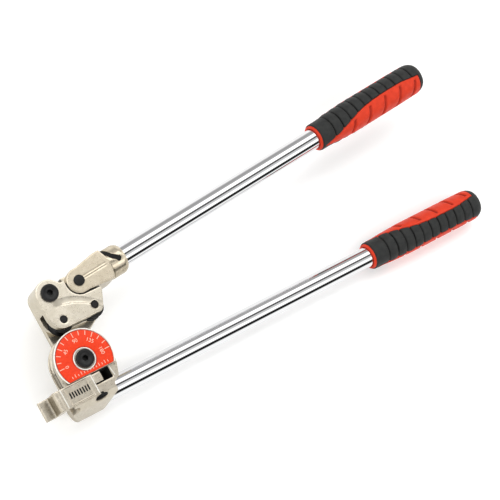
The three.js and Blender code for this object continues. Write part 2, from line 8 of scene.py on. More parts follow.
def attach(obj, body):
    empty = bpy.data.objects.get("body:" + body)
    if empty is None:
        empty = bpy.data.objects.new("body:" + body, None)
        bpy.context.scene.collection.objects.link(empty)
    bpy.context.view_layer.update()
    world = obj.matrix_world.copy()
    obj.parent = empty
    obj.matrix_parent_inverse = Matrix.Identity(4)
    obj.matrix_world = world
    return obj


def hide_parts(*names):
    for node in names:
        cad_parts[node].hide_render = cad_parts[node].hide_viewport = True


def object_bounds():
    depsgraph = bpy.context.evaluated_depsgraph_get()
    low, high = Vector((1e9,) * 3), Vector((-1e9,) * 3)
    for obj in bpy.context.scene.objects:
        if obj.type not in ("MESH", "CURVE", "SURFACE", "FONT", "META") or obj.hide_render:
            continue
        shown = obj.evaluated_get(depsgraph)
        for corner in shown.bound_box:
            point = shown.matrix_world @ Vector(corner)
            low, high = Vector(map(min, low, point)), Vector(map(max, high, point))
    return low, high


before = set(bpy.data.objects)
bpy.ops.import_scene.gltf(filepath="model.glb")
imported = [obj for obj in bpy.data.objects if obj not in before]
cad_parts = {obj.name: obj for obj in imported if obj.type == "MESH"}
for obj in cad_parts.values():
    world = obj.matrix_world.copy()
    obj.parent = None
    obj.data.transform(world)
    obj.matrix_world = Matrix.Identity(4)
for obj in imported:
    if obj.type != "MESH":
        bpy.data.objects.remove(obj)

cad_low, cad_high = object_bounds()
MM = 0.001
GROOVE_Z = 21.5          # groove plane above the post's end; all local sizes are in millimetres
FACE_Z = GROOVE_Z + 10.2
FORM_AXIS = (-25.5, GROOVE_Z - 29.0)
CLEVIS_AT = (26.0, 55.4, GROOVE_Z)
CLEVIS_TURN = math.radians(5.74)
SHOE_Y = 56.2
ROLLERS = {"near": 0.3, "far": 28.0}
ROLLER_Y = 33.7
HANDLE_R = 8.75
HANDLE_WALL = 1.6
FORM_TUBE_X = -12.0
SHOE_TUBE_X = 23.0
TUBE_END = 6.0           # handle tubes end this far inside the grip's butt
GRIP_LENGTH = 118.5
FORM_GRIP_X = 281.7
SHOE_GRIP_X = 251.8
FORM_GRIP_ROLL = math.radians(-65)
SHOE_GRIP_ROLL = math.radians(52)
PANEL_LEAN = 20          # degrees that a red panel's tip leans round the grip
RIB_START, RIB_PITCH, RIB_COUNT = 14.0, 9.3, 11          # grooves round the black cover
NOTCH_START, NOTCH_PITCH, NOTCH_COUNT = 34.5, 17.8, 5    # finger notches in the red panels
SHOE_FRONT = GROOVE_Z + 11.9
CLEVIS_FRONT = GROOVE_Z + 11.9
LATCH_FRONT = GROOVE_Z + 11.8
POST_R = 5.0
NUT_BORE = 5.35
NUT_ACROSS = 13.0
SOCKET_ACROSS = 4.4
BEND_R = 23.81
GROOVE_R = 4.85
DIAL_R = 22.4
DIAL_HOLE_R = 9.4
NUMBER_R = 15.2          # the numbers' distance from the dial's centre
DIAL_TOP = FACE_Z + 0.2
VOXEL = 0.36             # grain of the rounded castings


# ---- Materials -------------------------------------------------------------
class Look:
    """A Principled material with noise-driven colour, roughness and bump, in object space."""

    def __init__(self, name, color, metallic, roughness):
        self.mat = bpy.data.materials.new(name)
        self.mat.use_nodes = True
        self.nodes = self.mat.node_tree.nodes
        self.links = self.mat.node_tree.links
        self.shader = self.nodes["Principled BSDF"]
        self.shader.inputs["Base Color"].default_value = (*color, 1)
        self.shader.inputs["Metallic"].default_value = metallic
        self.shader.inputs["Roughness"].default_value = roughness
        self.color = color
        self.place = self.nodes.new("ShaderNodeTexCoord").outputs["Object"]

    def noise(self, scale, detail=3.0, stretch=None):
        source = self.place
        if stretch:
            mapping = self.nodes.new("ShaderNodeMapping")
            mapping.inputs["Scale"].default_value = stretch
            self.links.new(source, mapping.inputs["Vector"])
            source = mapping.outputs["Vector"]
        node = self.nodes.new("ShaderNodeTexNoise")
        node.inputs["Scale"].default_value = scale
        node.inputs["Detail"].default_value = detail
        self.links.new(source, node.inputs["Vector"])
        return node.outputs["Fac"]

    def remap(self, value, from_low, from_high, to_low=0.0, to_high=1.0):
        """The value moved from one range to another, held at the ends."""
        node = self.nodes.new("ShaderNodeMapRange")
        node.inputs["From Min"].default_value = from_low
        node.inputs["From Max"].default_value = from_high
        node.inputs["To Min"].default_value = to_low
        node.inputs["To Max"].default_value = to_high
        self.links.new(value, node.inputs["Value"])
        return node.outputs["Result"]

    def vary_color(self, fac, dark, low=0.3, high=0.7):
        """Noise between the dark tone and the look's own colour."""
        ramp = self.nodes.new("ShaderNodeValToRGB")
        ramp.color_ramp.elements[0].position = low
        ramp.color_ramp.elements[1].position = high
        ramp.color_ramp.elements[0].color = (*dark, 1)
        ramp.color_ramp.elements[1].color = (*self.color, 1)
        self.links.new(fac, ramp.inputs["Fac"])
        self.links.new(ramp.outputs["Color"], self.shader.inputs["Base Color"])
        return self

    def tint(self, fac, tone):
        """Multiplies the colour so far by a tone, where fac is 0."""
        mix = self.nodes.new("ShaderNodeMix")
        mix.data_type = "RGBA"
        mix.blend_type = "MULTIPLY"
        invert = self.nodes.new("ShaderNodeMath")
        invert.operation = "SUBTRACT"
        invert.inputs[0].default_value = 1.0
        self.links.new(fac, invert.inputs[1])
        self.links.new(invert.outputs[0], mix.inputs["Factor"])
        self.links.new(self.shader.inputs["Base Color"].links[0].from_socket, mix.inputs["A"])
        mix.inputs["B"].default_value = (*tone, 1)
        self.links.new(mix.outputs["Result"], self.shader.inputs["Base Color"])

    def duller_sides(self, tone):
        """Painted shade: the colour is multiplied by a tone on walls that don't face along Z, and kept on
        faces along Z.
        """
        split = self.nodes.new("ShaderNodeSeparateXYZ")
        place = self.nodes.new("ShaderNodeTexCoord")
        self.links.new(place.outputs["Normal"], split.inputs[0])
        size = self.nodes.new("ShaderNodeMath")
        size.operation = "ABSOLUTE"
        self.links.new(split.outputs["Z"], size.inputs[0])
        self.tint(self.remap(size.outputs[0], 0.45, 0.85), tone)
        return self

    def darken_corners(self, dark, distance, low=0.35, high=0.85):
        """Painted shade in the inside corners: the colour darkens towards a dark tone where ambient occlusion
        is low.
        """
        node = self.nodes.new("ShaderNodeAmbientOcclusion")
        node.inputs["Distance"].default_value = distance
        node.samples = 8
        node.only_local = True
        mix = self.nodes.new("ShaderNodeMix")
        mix.data_type = "RGBA"
        self.links.new(self.remap(node.outputs["AO"], low, high), mix.inputs["Factor"])
        mix.inputs["A"].default_value = (*dark, 1)
        self.links.new(self.shader.inputs["Base Color"].links[0].from_socket, mix.inputs["B"])
        self.links.new(mix.outputs["Result"], self.shader.inputs["Base Color"])
        return self

    def vary_roughness(self, fac, low, high):
        self.links.new(self.remap(fac, 0, 1, low, high), self.shader.inputs["Roughness"])
        return self

    def bump(self, fac, strength, distance):
        node = self.nodes.new("ShaderNodeBump")
        node.inputs["Strength"].default_value = strength
        node.inputs["Distance"].default_value = distance
        self.links.new(fac, node.inputs["Height"])
        self.links.new(node.outputs["Normal"], self.shader.inputs["Normal"])
        return self


def casting_metal(name, color, dark):
    look = Look(name, color, 0.95, 0.25)
    look.vary_color(look.noise(260, 5), dark, 0.3, 0.7)
    # Painted shade on the side walls, in a grey tone.
    look.duller_sides((0.66, 0.65, 0.61))
    # Painted shade in the inside corners, in a dark brown.
    look.darken_corners((0.07, 0.055, 0.03), 0.009, 0.45, 0.92)
    look.vary_roughness(look.noise(700, 3), 0.22, 0.36)
    return look.bump(look.noise(1300, 4), 0.16, 0.0001).mat


def cast_nickel():
    return casting_metal("cast_nickel", (0.81, 0.745, 0.63), (0.71, 0.645, 0.525))


# A darker copy of the cast nickel, for the form and the latch.
def worn_nickel():
    return casting_metal("worn_nickel", (0.73, 0.665, 0.56), (0.62, 0.555, 0.45))


def warm_nickel():
    return casting_metal("warm_nickel", (0.73, 0.645, 0.51), (0.62, 0.54, 0.41))


# A lighter copy of the nickel: painted highlight on rims and ridges that catch the light.
def bright_nickel():
    look = Look("bright_nickel", (0.97, 0.95, 0.9), 0.9, 0.3)
    look.vary_color(look.noise(300, 3), (0.92, 0.9, 0.84))
    return look.vary_roughness(look.noise(900, 3), 0.25, 0.4).mat


def chrome_tube():
    look = Look("chrome_tube", (0.72, 0.72, 0.73), 1.0, 0.05)
    look.vary_color(look.noise(60, 2, (0.1, 1, 1)), (0.68, 0.68, 0.69))
    look.vary_roughness(look.noise(900, 2, (0.06, 1, 1)), 0.015, 0.04)
    return look.mat


def black_steel():
    look = Look("black_steel", (0.011, 0.0105, 0.011), 0.2, 0.32)
    look.shader.inputs["Specular IOR Level"].default_value = 0.35
    look.vary_color(look.noise(900, 3), (0.006, 0.006, 0.006))
    # Painted shade in the inside corners.
    look.darken_corners((0.001, 0.001, 0.001), 0.003)
    look.vary_roughness(look.noise(1500, 3), 0.25, 0.45)
    return look.bump(look.noise(2600, 3), 0.1, 0.00005).mat


# Black for the painted shade shells, and for the printed bars on the latch.
def shadow_black():
    look = Look("shadow_black", (0.006, 0.006, 0.006), 0.0, 0.9)
    return look.vary_color(look.noise(900, 2), (0.003, 0.003, 0.003)).mat


def black_rubber():
    look = Look("black_rubber", (0.023, 0.024, 0.023), 0.0, 0.58)
    look.shader.inputs["Specular IOR Level"].default_value = 0.3
    look.vary_color(look.noise(300, 3), (0.014, 0.015, 0.015))
    # Painted shade in the grooves and inside corners.
    look.darken_corners((0.001, 0.001, 0.001), 0.003, 0.45, 0.95)
    look.vary_roughness(look.noise(1200, 3), 0.48, 0.7)
    return look.bump(look.noise(3200, 4), 0.25, 0.00008).mat


def red_rubber():
    look = Look("red_rubber", (0.7, 0.042, 0.011), 0.0, 0.55)
    look.shader.inputs["Specular IOR Level"].default_value = 0.25
    look.vary_color(look.noise(250, 3), (0.6, 0.033, 0.008))
    # Painted shade in the grooves and inside corners, in a dark red.
    look.darken_corners((0.24, 0.008, 0.002), 0.004, 0.5, 0.97)
    look.vary_roughness(look.noise(1200, 3), 0.42, 0.6)
    return look.bump(look.noise(3200, 4), 0.2, 0.00008).mat


def dial_red():
    look = Look("dial_red", (0.8, 0.05, 0.012), 0.0, 0.45)
    look.shader.inputs["Specular IOR Level"].default_value = 0.2
    look.vary_color(look.noise(500, 4), (0.72, 0.04, 0.009), 0.35, 0.65)
    return look.vary_roughness(look.noise(1500, 3), 0.34, 0.5).mat


def dial_white():
    look = Look("dial_white", (0.9, 0.6, 0.48), 0.0, 0.5)
    return look.vary_color(look.noise(1500, 3), (0.85, 0.42, 0.3)).mat


def zinc():
    look = Look("zinc", (0.62, 0.62, 0.6), 0.95, 0.3)
    look.vary_color(look.noise(400, 3), (0.5, 0.5, 0.48))
    # Painted shade in the inside corners.
    look.darken_corners((0.05, 0.05, 0.05), 0.002)
    return look.bump(look.noise(1800, 3), 0.12, 0.00006).mat


def bronze():
    look = Look("bronze", (0.6, 0.42, 0.2), 0.95, 0.35)
    return look.vary_color(look.noise(500, 3), (0.45, 0.3, 0.13)).mat


MATERIALS = {make.__name__: make() for make in (
    cast_nickel, worn_nickel, warm_nickel, bright_nickel, chrome_tube, black_steel, shadow_black,
    black_rubber, red_rubber, dial_red, dial_white, zinc, bronze)}


# ---- Mesh helpers: inputs in millimetres, meshes in metres -----------------
def new_object(name, bm):
    bmesh.ops.recalc_face_normals(bm, faces=bm.faces)
    mesh = bpy.data.meshes.new(name)
    bm.to_mesh(mesh)
    bm.free()
    obj = bpy.data.objects.new(name, mesh)
    bpy.context.collection.objects.link(obj)
    return obj


def shade(obj, angle=35):
    """Smooth faces, with edges sharper than the angle kept crisp."""
    mesh = obj.data
    mesh.polygons.foreach_set("use_smooth", [True] * len(mesh.polygons))
    mesh.set_sharp_from_angle(angle=math.radians(angle))
    return obj


def finish_piece(obj, body, material, nodes=()):
    obj.data.materials.clear()
    obj.data.materials.append(MATERIALS[material])
    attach(obj, body)
    if nodes:
        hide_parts(*nodes)
    return obj


def revolve(name, profile, segments=96, closed=False):
    """Turns [radius, height] points round Z. Ends on the axis, or closes on itself."""
    bm = bmesh.new()
    rings = []
    for r, z in profile:
        if r < 1e-6:
            rings.append([bm.verts.new((0, 0, z * MM))])
            continue
        rings.append([bm.verts.new((r * MM * math.cos(2 * math.pi * i / segments),
                                    r * MM * math.sin(2 * math.pi * i / segments), z * MM))
                      for i in range(segments)])
    pairs = list(zip(rings, rings[1:]))
    if closed:
        pairs.append((rings[-1], rings[0]))
    for a, b in pairs:
        for i in range(segments):
            j = (i + 1) % segments
            quad = [a[i % len(a)], a[j % len(a)], b[j % len(b)], b[i % len(b)]]
            corners = list(dict.fromkeys(quad))
            if len(corners) > 2:
                bm.faces.new(corners)
    return new_object(name, bm)


def prism(name, points, z0, z1):
    bm = bmesh.new()
    low = [bm.verts.new((x * MM, y * MM, z0 * MM)) for x, y in points]
    high = [bm.verts.new((x * MM, y * MM, z1 * MM)) for x, y in points]
    bm.faces.new(low)
    bm.faces.new(high)
    for i in range(len(points)):
        j = (i + 1) % len(points)
        bm.faces.new((low[i], low[j], high[j], high[i]))
    return new_object(name, bm)


def block(name, low, high):
    return prism(name, [(low[0], low[1]), (high[0], low[1]), (high[0], high[1]), (low[0], high[1])],
                 low[2], high[2])



def circle(cx, cy, r, start=0.0, end=360.0, steps=48):
    """Points of a circle or arc: [x, y] for an outline, or [radius, height] for a turned profile."""
    return [(cx + r * math.cos(math.radians(start + (end - start) * i / steps)),
             cy + r * math.sin(math.radians(start + (end - start) * i / steps)))
            for i in range(steps + (0 if end - start == 360 else 1))]


def place(obj, matrix):
    obj.data.transform(matrix)
    obj.data.update()
    return obj


def shift(x, y, z):
    return Matrix.Translation((x * MM, y * MM, z * MM))


def along_x():
    """Turns +Z to +X, and X to -Z."""
    return Matrix.Rotation(math.pi / 2, 4, "Y")


def boolean(obj, other, operation):
    modifier = obj.modifiers.new(operation, "BOOLEAN")
    modifier.operation = operation
    modifier.object = other
    modifier.solver = "EXACT"
    apply_modifiers(obj)
    bpy.data.objects.remove(other)
    return obj


def evaluated_mesh(obj):
    graph = bpy.context.evaluated_depsgraph_get()
    return bpy.data.meshes.new_from_object(obj.evaluated_get(graph))


def mesh_from(name, data):
    """A mesh object made of a curve's or a text's evaluated shape."""
    holder = bpy.data.objects.new(name, data)
    bpy.context.collection.objects.link(holder)
    mesh = evaluated_mesh(holder)
    bpy.data.objects.remove(holder)
    obj = bpy.data.objects.new(name, mesh)
    bpy.context.collection.objects.link(obj)
    return obj


def apply_modifiers(obj):
    mesh = evaluated_mesh(obj)
    obj.modifiers.clear()
    old = obj.data
    obj.data = mesh
    bpy.data.meshes.remove(old)
    return obj


def join(objects, name):
    bm = bmesh.new()
    for obj in objects:
        bm.from_mesh(obj.data)
        bpy.data.objects.remove(obj)
    return new_object(name, bm)


def bevelled(obj, width, segments=3, angle=40):
    modifier = obj.modifiers.new("bevel", "BEVEL")
    modifier.width = width * MM
    modifier.segments = segments
    modifier.limit_method = "ANGLE"
    modifier.angle_limit = math.radians(angle)
    return apply_modifiers(obj)


def casting(name, node, voxel=VOXEL, rounds=3):
    """The node's shape as a casting, with every edge softly rounded."""
    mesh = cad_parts[node].data.copy()
    obj = bpy.data.objects.new(name, mesh)
    bpy.context.collection.objects.link(obj)
    mesh.materials.clear()
    remesh(obj, voxel)
    smooth = obj.modifiers.new("smooth", "SMOOTH")
    smooth.factor = 0.5
    smooth.iterations = rounds
    apply_modifiers(obj)
    return shade(obj, 180)


def remesh(obj, voxel):
    modifier = obj.modifiers.new("remesh", "REMESH")
    modifier.mode = "VOXEL"
    modifier.voxel_size = voxel * MM
    return apply_modifiers(obj)


def swept(name, points, radius, steps=10):
    """A round bead through the points."""
    curve = bpy.data.curves.new(name, "CURVE")
    curve.dimensions = "3D"
    curve.bevel_depth = radius * MM
    curve.bevel_resolution = 3
    curve.use_fill_caps = True
    spline = curve.splines.new("BEZIER")
    spline.bezier_points.add(len(points) - 1)
    spline.resolution_u = steps
    for knot, point in zip(spline.bezier_points, points):
        knot.co = Vector(point) * MM
        knot.handle_left_type = "AUTO"
        knot.handle_right_type = "AUTO"
    return mesh_from(name, curve)


# ---- Castings --------------------------------------------------------------
def dark_piece(obj, body):
    return finish_piece(obj, body, "shadow_black")


def bright_piece(obj, body):
    return finish_piece(shade(obj), body, "bright_nickel")


def dark_liner(name, outer, inner, body, matrix=None):
    """A thin black shell, painted shade inside a deep recess; it is not a real piece."""
    boolean(outer, inner, "DIFFERENCE")
    if matrix:
        place(outer, matrix)
    outer.name = name
    return dark_piece(outer, body)


def make_form():
    piece = casting("form_casting", "form_body")
    finish_piece(piece, "form_side", "worn_nickel", ["form_body"])
    z = GROOVE_Z
    # Painted shade: a black shell inside the latch window.
    wall = 0.25
    right, bottom, top = 13.6, -21.1, -13.0
    outer = block("outer", (5.9, bottom - wall, z - 5.9), (right + wall, top + wall, z + 7.9))
    inner = block("inner", (4, bottom, z - 5.4), (right, top, z + 9))
    dark_liner("window_painted_shade", outer, inner, "form_side")
    # Painted shade: a black sleeve in the pin pocket.
    sleeve = [(5.05, 0), (5.05, 3.4), (4.7, 3.4), (4.7, 0.3), (2.1, 0.3), (2.1, 0)]
    pocket = place(revolve("pocket_painted_shade", sleeve, 64, True),
                   shift(0.2, -27.75, z + 3.3) @ Matrix.Rotation(math.pi / 2, 4, "X"))
    dark_piece(shade(pocket), "form_side")
    # The dial rim, hub rim and window rim are real beads; their lighter nickel is painted highlight.
    base = FACE_Z - 0.3
    rim = [(22.75, base), (22.75, FACE_Z), *circle(23.4, FACE_Z - 0.05, 0.6, 165, 15, 8), (24.0, base)]
    hub = [(7.5, base), (7.5, FACE_Z), *circle(8.35, FACE_Z - 0.15, 0.75, 170, 10, 8), (9.15, base)]
    below = block("below", (-40, -60, 0), (40, -11.9, 60))
    bead = boolean(revolve("dial_rim", rim, 160, True), below, "DIFFERENCE")
    bright_piece(bead, "form_side")
    bright_piece(revolve("hub_rim", hub, 128, True), "form_side")
    shelf = GROOVE_Z + 8.45
    rim = swept("window_rim", [(14.9, -13.4, shelf), (15.2, -17.0, shelf), (15.8, -20.8, shelf)], 0.55)
    bright_piece(rim, "form_side")


def make_groove_shade():
    """Deep shade in the form's groove, up to where the lower wall catches the light."""
    outer, inner = GROOVE_R - 0.02, GROOVE_R - 0.25
    arc = circle(0, 0, outer, 100, 239, 24) + circle(0, 0, inner, 239, 100, 24)
    ring_profile = [(BEND_R + r, GROOVE_Z + z) for r, z in arc]
    below = block("below", (-60, -60, 0), (60, 0.2, 60))
    bend = boolean(revolve("bend_groove_shade", ring_profile, 160, True), below, "DIFFERENCE")
    dark_piece(shade(bend), "form_side")
    straight = prism("clamp_groove_shade", [(-r, z) for r, z in arc], 0, 11.8)
    place(straight, shift(-BEND_R, 0.2, GROOVE_Z) @ Matrix.Rotation(math.pi / 2, 4, "X"))
    dark_piece(shade(straight), "form_side")


def make_link():
    piece = casting("link_casting", "link_plate", voxel=0.4, rounds=4)
    finish_piece(piece, "link", "cast_nickel", ["link_plate"])


def dent(value, centre, width):
    """1 at the centre of a groove, falling off smoothly to both sides."""
    return math.exp(-((value - centre) / width) ** 2)


def push_front(obj, front_z, drop_at):
    """Sinks the front face by drop_at(x, y), fading out round its edges."""
    facings = [vertex.normal.z for vertex in obj.data.vertices]
    for vertex, facing in zip(obj.data.vertices, facings):
        x, y, z = vertex.co / MM
        share = smoothstep(facing, 0.3, 0.9) * smoothstep(z, front_z - 1.6, front_z - 0.6)
        vertex.co.z -= share * drop_at(x, y) * MM
    obj.data.update()


def shoe_step(x, y):
    """The roller end of the shoe's face lies lower, behind a long curved slope that ends in a crease."""
    top = 49.6 - 0.0145 * max(0.0, x - 1) ** 2
    slope = smoothstep(x, -5, 9) * min(1.0, max(0.0, (top - y) / 4.9)) ** 1.4
    crease = dent(y, top - 5.2, 0.4) * smoothstep(x, 3, 8) * smoothstep(-x, -30, -26)
    return slope + 0.35 * crease


def make_shoe():
    piece = casting("shoe_casting", "roller_shoe")
    push_front(piece, SHOE_FRONT, shoe_step)
    finish_piece(piece, "shoe", "cast_nickel", ["roller_shoe"])
    # Painted shade: a black shell along the wall of the clevis pocket.
    x, y, _ = CLEVIS_AT
    reach, thick, thin, steps, end_x = 11.05, 0.75, 0.3, 32, 38.4
    first, last = 165, 270
    wall = circle(x, y, reach, first, last, steps) + [(end_x, y - reach), (end_x, y - reach + thick)]
    for k in range(steps + 1):
        turn = last - (last - first) * k / steps
        inner = reach - thin - (thick - thin) * smoothstep(turn, first, 200)
        wall.append((x + inner * math.cos(math.radians(turn)), y + inner * math.sin(math.radians(turn))))
    lining = prism("pocket_wall_painted_shade", wall, GROOVE_Z + 6.2, SHOE_FRONT - 0.5)
    dark_piece(shade(lining), "shoe")


def clevis_frame():
    return shift(*CLEVIS_AT) @ Matrix.Rotation(CLEVIS_TURN, 4, "Z")


def clevis_face(x, y):
    """Two fine creases along the fork, and a seam where the fork's face ends at the collar."""
    local = clevis_frame().inverted() @ Vector((x * MM, y * MM, 0)) / MM
    along = smoothstep(local.x, 4, 6) * smoothstep(-local.x, -27, -25)
    creases = 0.22 * dent(local.y, 1.2, 0.35) + 0.16 * dent(local.y, -0.7, 0.35)
    bow = 26.6 + 3.0 * (1 - (local.y / 12.5) ** 2)
    seam = dent(local.x, bow, 0.4) * smoothstep(-local.y, 0, 3)
    return along * creases + 0.7 * seam


def make_clevis():
    piece = casting("clevis_casting", "clevis")
    push_front(piece, CLEVIS_FRONT, clevis_face)
    finish_piece(piece, "shoe_handle", "warm_nickel", ["clevis"])
    # Painted shade: a black shell in the collar recess.
    outline = [(26.8, 13.0), (30.9, 13.0), (33.0, 8.3), (34.8, 4.5), (37.2, 2.1), (39.8, -0.3), (40.0, -1.5),
               (38.5, -3.2), (36.7, -3.1), (35.5, -0.8), (33.1, 1.2), (30.8, 5.3), (28.8, 7.8)]
    band = prism("band", outline, 0, 20)
    shell = revolve("shell", [(0, 24), (12.0, 24), (12.0, 42), (0, 42)], 96)
    boolean(band, place(shell, along_x()), "INTERSECT")
    core = revolve("core", [(0, 20), (9.95, 20), (9.95, 45), (0, 45)], 96)
    dark_liner("collar_painted_shade", band, place(core, along_x()), "shoe_handle", clevis_frame())


def latch_face(x, y):
    """A sunk panel, a narrow groove next to the hinge, and a shallow valley before the thumb tab."""
    across = smoothstep(x, -26.6, -25.4) * smoothstep(-x, 6.4, 7.6)
    along = smoothstep(-y, 13.2, 14.2) * smoothstep(y, -28.2, -27.4)
    return 0.9 * across * along + 0.6 * dent(x, -2.6, 0.5) + 0.5 * dent(x, -31.2, 1.2)


def make_latch():
    piece = casting("latch_casting", "latch")
    push_front(piece, LATCH_FRONT, latch_face)
    # The bars are black print, a plain mark on the latch panel.
    pitch, wide, low, high = 2.25, 1.25, LATCH_FRONT - 1.05, LATCH_FRONT - 0.77
    starts = [-24.6 + pitch * k for k in range(9)]
    bars = [block("bar", (x, -22.8, low), (x + wide, -18.2, high)) for x in starts]
    dark_piece(shade(bevelled(join(bars, "latch_bars"), 0.1, 2)), "latch_body")
    finish_piece(piece, "latch_body", "worn_nickel", ["latch"])
    # The two ridges are real beads; their lighter nickel is painted highlight.
    z = LATCH_FRONT - 0.2
    beads = [swept("bead", [(x, -28.2, z), (x, -20.5, z), (x, -13.0, z)], 0.5) for x in (-29.8, -3.0)]
    bright_piece(join(beads, "latch_ridges"), "latch_body")


# ---- Handles ---------------------------------------------------------------
def tube(name, x0, x1):
    inner = HANDLE_R - HANDLE_WALL
    chamfer = 0.3
    piece = revolve(name, [(inner, x0), (HANDLE_R - chamfer, x0), (HANDLE_R, x0 + chamfer),
                           (HANDLE_R, x1 - chamfer), (HANDLE_R - chamfer, x1), (inner, x1)], 128, True)
    return shade(place(piece, along_x()))


def smoothstep(value, low, high):
    t = min(1.0, max(0.0, (value - low) / (high - low)))
    return t * t * (3 - 2 * t)


def outer_radius(x):
    """The grip's outside radius, swelling from the neck and rounding off at the butt."""
    swell = 12.4 + 0.8 * smoothstep(x, 7, 21) + 0.8 * smoothstep(x, 17, 42) - 0.2 * smoothstep(x, 90, 108)
    neck = 1.0 - math.sqrt(max(0.0, 1 - max(0.0, 1 - x / 1.4) ** 2))
    butt = 1.0 - math.sqrt(max(0.0, 1 - max(0.0, (x - GRIP_LENGTH + 8) / 8.2) ** 2))
    return swell - 0.9 * neck - 3.4 * butt


def panel_edge(x, angle, lean):
    """How far inside a red panel the point lies, in millimetres along the surface."""
    along = min(1.0, max(0.0, (x - 2) / 78))
    half = 55 * (1 - (1 - along) ** 2.2) - 11 * smoothstep(x, 90, 116)
    centre = 90 + lean * (1 - smoothstep(x, 0, 55))
    off = min(abs((angle - centre - turn + 180) % 360 - 180) for turn in (0, 180))
    return min((half - off) * math.radians(1) * 13.5, GRIP_LENGTH - 5.2 - x, (x - 2) * 0.6)


def ribs(x, first, pitch, count, half_width, depth):
    for k in range(count):
        off = abs(x - first - pitch * k)
        if off < half_width:
            return depth * (0.5 + 0.5 * math.cos(math.pi * off / half_width))
    return 0.0


def crown(x, first, pitch, height):
    """Each segment between grooves bulges a little."""
    return height * (0.5 - 0.5 * math.cos(2 * math.pi * (x - first) / pitch))


def black_radius(x, angle, lean):
    inside = panel_edge(x, angle, lean)
    grooves = ribs(x, RIB_START, RIB_PITCH, RIB_COUNT, 1.1, 1.25)
    last = RIB_START + RIB_PITCH * (RIB_COUNT - 1)
    bulge = crown(x, RIB_START, RIB_PITCH, 0.35) if RIB_START < x < last else 0.0
    return outer_radius(x) - 0.35 + bulge - grooves - 2.2 * smoothstep(inside, -0.45, 0.45)


def red_radius(x, angle, lean):
    inside = panel_edge(x, angle, lean)
    slant = x + 0.004 * lean * (angle % 180 - 90)
    cuts = ribs(slant, NOTCH_START, NOTCH_PITCH, NOTCH_COUNT, 2.1, 1.7) * smoothstep(inside, 1.8, 4.0)
    if x < 2.2:
        return 11.0 - max(0.0, -0.9 - x)
    return outer_radius(x) - 0.2 - cuts - 1.6 * smoothstep(-inside, -0.5, 0.5)


def grip_skin(name, radius_at, lean, x0, x1, bore, step=0.45, around=216):
    """A closed grip sleeve whose outside radius follows radius_at(x, degrees)."""
    count = int((x1 - x0) / step)
    bm = bmesh.new()
    rings = []
    for i in range(count + 1):
        x = x0 + (x1 - x0) * i / count
        ring = []
        for k in range(around):
            angle = 360.0 * k / around
            r = radius_at(x, angle, lean)
            turn = math.radians(angle)
            ring.append(bm.verts.new((x * MM, r * MM * math.cos(turn), r * MM * math.sin(turn))))
        rings.append(ring)
    for x in (x1, x0):
        rings.append([bm.verts.new((x * MM, bore * MM * math.cos(2 * math.pi * k / around),
                                    bore * MM * math.sin(2 * math.pi * k / around))) for k in range(around)])
    for i, a in enumerate(rings):
        b = rings[(i + 1) % len(rings)]
        for k in range(around):
            j = (k + 1) % around
            bm.faces.new((a[k], a[j], b[j], b[k]))
    return shade(new_object(name, bm), 50)


def make_grip(prefix, body, to_world, roll, lean):
    turn = to_world @ Matrix.Rotation(roll, 4, "X")
    cover = grip_skin(f"{prefix}_cover", black_radius, lean, 0.0, GRIP_LENGTH - 0.2, 11.3)
    core = grip_skin(f"{prefix}_core", red_radius, lean, -1.6, GRIP_LENGTH - 5.0, 9.1)
    butt = GRIP_LENGTH
    profile = [(0, butt - 4), (11.0, butt - 4), (11.0, butt - 0.9), (10.3, butt - 0.3), (8.8, butt - 0.1),
               (8.4, butt - 0.5), (0, butt - 0.5)]
    plug = revolve(f"{prefix}_plug", profile, 96)
    place(plug, along_x())
    for piece, material, node in ((cover, "black_rubber", "grip_cover"), (core, "red_rubber", "grip_core"),
                                  (plug, "black_rubber", "end_plug")):
        place(piece, turn)
        finish_piece(shade(piece, 50), body, material, [f"{prefix}_{node}"])


def make_handles():
    form = shift(0, FORM_AXIS[0], FORM_AXIS[1])
    shoe = clevis_frame()
    form_tube = place(tube("form_tube", FORM_TUBE_X, FORM_GRIP_X + GRIP_LENGTH - TUBE_END), form)
    finish_piece(form_tube, "form_side", "chrome_tube", ["form_handle_tube"])
    shoe_tube = place(tube("shoe_tube", SHOE_TUBE_X, SHOE_GRIP_X + GRIP_LENGTH - TUBE_END), shoe)
    finish_piece(shoe_tube, "shoe_handle", "chrome_tube", ["shoe_handle_tube"])
    make_grip("form", "form_side", form @ shift(FORM_GRIP_X, 0, 0), FORM_GRIP_ROLL, -PANEL_LEAN)
    make_grip("shoe", "shoe_handle", shoe @ shift(SHOE_GRIP_X, 0, 0), SHOE_GRIP_ROLL, PANEL_LEAN)


# ---- Dial ------------------------------------------------------------------
def dial_points(radius, chord, steps=96):
    start = math.degrees(math.asin(chord / radius))
    return circle(0, 0, radius, start, 180 - start, steps)


def make_dial():
    top = DIAL_TOP
    plate = prism("dial_plate", dial_points(DIAL_R, -11.6), FACE_Z - 0.3, top)
    hole = revolve("hole", [(0, FACE_Z - 5), (DIAL_HOLE_R, FACE_Z - 5), (DIAL_HOLE_R, FACE_Z + 5),
                            (0, FACE_Z + 5)], 96)
    boolean(plate, hole, "DIFFERENCE")
    finish_piece(shade(bevelled(plate, 0.12, 2)), "form_side", "dial_red", ["degree_scale"])
    marks = [dial_tick(degrees, top) for degrees in range(0, 181, 15)]
    marks += [dial_number(degrees, top) for degrees in (0, 45, 90, 135, 180)]
    low, high, pitch, half = top - 0.05, top + 0.05, 2.6, 0.25
    marks += [block("tick", (pitch * k - half, -9.9, low), (pitch * k + half, -8.3 + 0.9 * (k % 2), high))
              for k in range(-6, 7)]
    finish_piece(join(marks, "dial_marks"), "form_side", "dial_white")


def dial_tick(degrees, top):
    long = degrees % 45 == 0
    tick = block("tick", (-0.26, 18.0 if long else 18.6, top - 0.05), (0.26, 22.1, top + 0.05))
    return place(tick, Matrix.Rotation(math.radians(90 - degrees), 4, "Z"))


